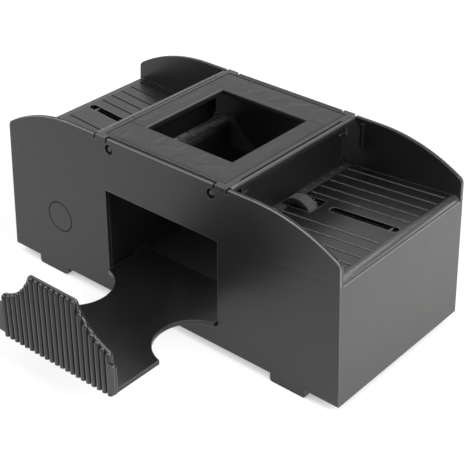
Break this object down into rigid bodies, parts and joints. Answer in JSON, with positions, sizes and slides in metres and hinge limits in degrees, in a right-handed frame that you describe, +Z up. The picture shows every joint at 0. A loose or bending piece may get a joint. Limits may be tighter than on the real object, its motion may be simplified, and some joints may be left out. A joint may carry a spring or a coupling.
{
  "type": "card shuffler",
  "caption": "Dark grey tabletop card shuffler with feed trays, rubber rollers, swinging gates, a leatherette framed top opening and a ribbed drawer that collects the deck.",
  "frame": {"origin": "middle of the footprint of the whole object with its drawer standing open, at the height of the feet", "axes": "+X to the right-hand tray along the casing, +Y to the rear wall, so the drawer opens towards -Y, +Z up"},
  "size_m": [0.21, 0.1652, 0.0903],
  "materials": {
    "case": "satin moulded dark grey plastic",
    "inner_plastic": "satin moulded charcoal plastic",
    "drawer": "satin moulded dark grey plastic",
    "leatherette": "padded grained leatherette",
    "tyre_rubber": "matt grey rubber with a fine square tread",
    "gear_plastic": "charcoal acetal",
    "steel": "plated steel",
    "cell": "plain battery jacket"
  },
  "bodies": {
    "casing": {"housing": "case", "base_cover": "inner_plastic", "card_well": "inner_plastic", "left_tray": "case", "right_tray": "case", "top_frame": "case", "leather_trim": "leatherette", "switch": "inner_plastic", "battery_1": "cell", "battery_2": "cell", "battery_3": "cell", "battery_4": "cell", "battery_contacts": "steel", "case_screws": "steel", "bracket_screws": "steel", "left_gear_bracket": "inner_plastic", "left_idler_pin": "steel", "left_motor": "steel", "right_gear_bracket": "inner_plastic", "right_idler_pin": "steel", "right_motor": "steel"},
    "drawer": {"card_drawer": "drawer"},
    "left_gate": {"left_gate": "inner_plastic"},
    "left_feed": {"left_axle": "steel", "left_roller_hub": "gear_plastic", "left_roller_tyre": "tyre_rubber", "left_axle_gear": "gear_plastic"},
    "left_idler": {"left_idler_gear": "gear_plastic"},
    "left_rotor": {"left_motor_shaft": "steel", "left_pinion": "gear_plastic"},
    "right_gate": {"right_gate": "inner_plastic"},
    "right_feed": {"right_axle": "steel", "right_roller_hub": "gear_plastic", "right_roller_tyre": "tyre_rubber", "right_axle_gear": "gear_plastic"},
    "right_idler": {"right_idler_gear": "gear_plastic"},
    "right_rotor": {"right_motor_shaft": "steel", "right_pinion": "gear_plastic"},
    "start_button": {"start_button": "case", "switch_plunger": "gear_plastic"},
    "battery_door": {"battery_door": "inner_plastic"}
  },
  "joints": [
    {"name": "drawer_slide", "type": "slide", "parent": "casing", "child": "drawer", "axis": [0, -1, 0], "range_m": [-0.067, 0.0155]},
    {"name": "left_gate_swing", "type": "hinge", "parent": "casing", "child": "left_gate", "pos_m": [-0.04, 0.03445, 0.0838], "axis": [0, -1, 0], "range_deg": [0, 60]},
    {"name": "left_feed_spin", "type": "hinge", "parent": "casing", "child": "left_feed", "pos_m": [-0.0459, 0.03445, 0.05938], "axis": [0, 1, 0], "continuous": true},
    {"name": "left_idler_spin", "type": "hinge", "parent": "casing", "child": "left_idler", "pos_m": [-0.0479, 0.03445, 0.05205], "axis": [0, 1, 0], "continuous": true},
    {"name": "left_rotor_spin", "type": "hinge", "parent": "casing", "child": "left_rotor", "pos_m": [-0.05824, 0.03445, 0.04679], "axis": [0, 1, 0], "continuous": true},
    {"name": "right_gate_swing", "type": "hinge", "parent": "casing", "child": "right_gate", "pos_m": [0.04, 0.03445, 0.0838], "axis": [0, 1, 0], "range_deg": [0, 60]},
    {"name": "right_feed_spin", "type": "hinge", "parent": "casing", "child": "right_feed", "pos_m": [0.0459, 0.03445, 0.05938], "axis": [0, -1, 0], "continuous": true},
    {"name": "right_idler_spin", "type": "hinge", "parent": "casing", "child": "right_idler", "pos_m": [0.0479, 0.03445, 0.05205], "axis": [0, -1, 0], "continuous": true},
    {"name": "right_rotor_spin", "type": "hinge", "parent": "casing", "child": "right_rotor", "pos_m": [0.05824, 0.03445, 0.04679], "axis": [0, -1, 0], "continuous": true},
    {"name": "start_press", "type": "slide", "parent": "casing", "child": "start_button", "axis": [0, 1, 0], "range_m": [0, 0.0018], "stiffness_N_per_m": 600, "springref_m": -0.001},
    {"name": "battery_door_hinge", "type": "hinge", "parent": "casing", "child": "battery_door", "pos_m": [0.07063, 0.03445, 0.0057], "axis": [0, 1, 0], "range_deg": [0, 85]}
  ],
  "couplings": [
    {"joint": "left_idler_spin", "follows": "left_feed_spin", "ratio": -2},
    {"joint": "left_rotor_spin", "follows": "left_feed_spin", "ratio": 7.2},
    {"joint": "right_idler_spin", "follows": "right_feed_spin", "ratio": -2},
    {"joint": "right_rotor_spin", "follows": "right_feed_spin", "ratio": 7.2}
  ]
}
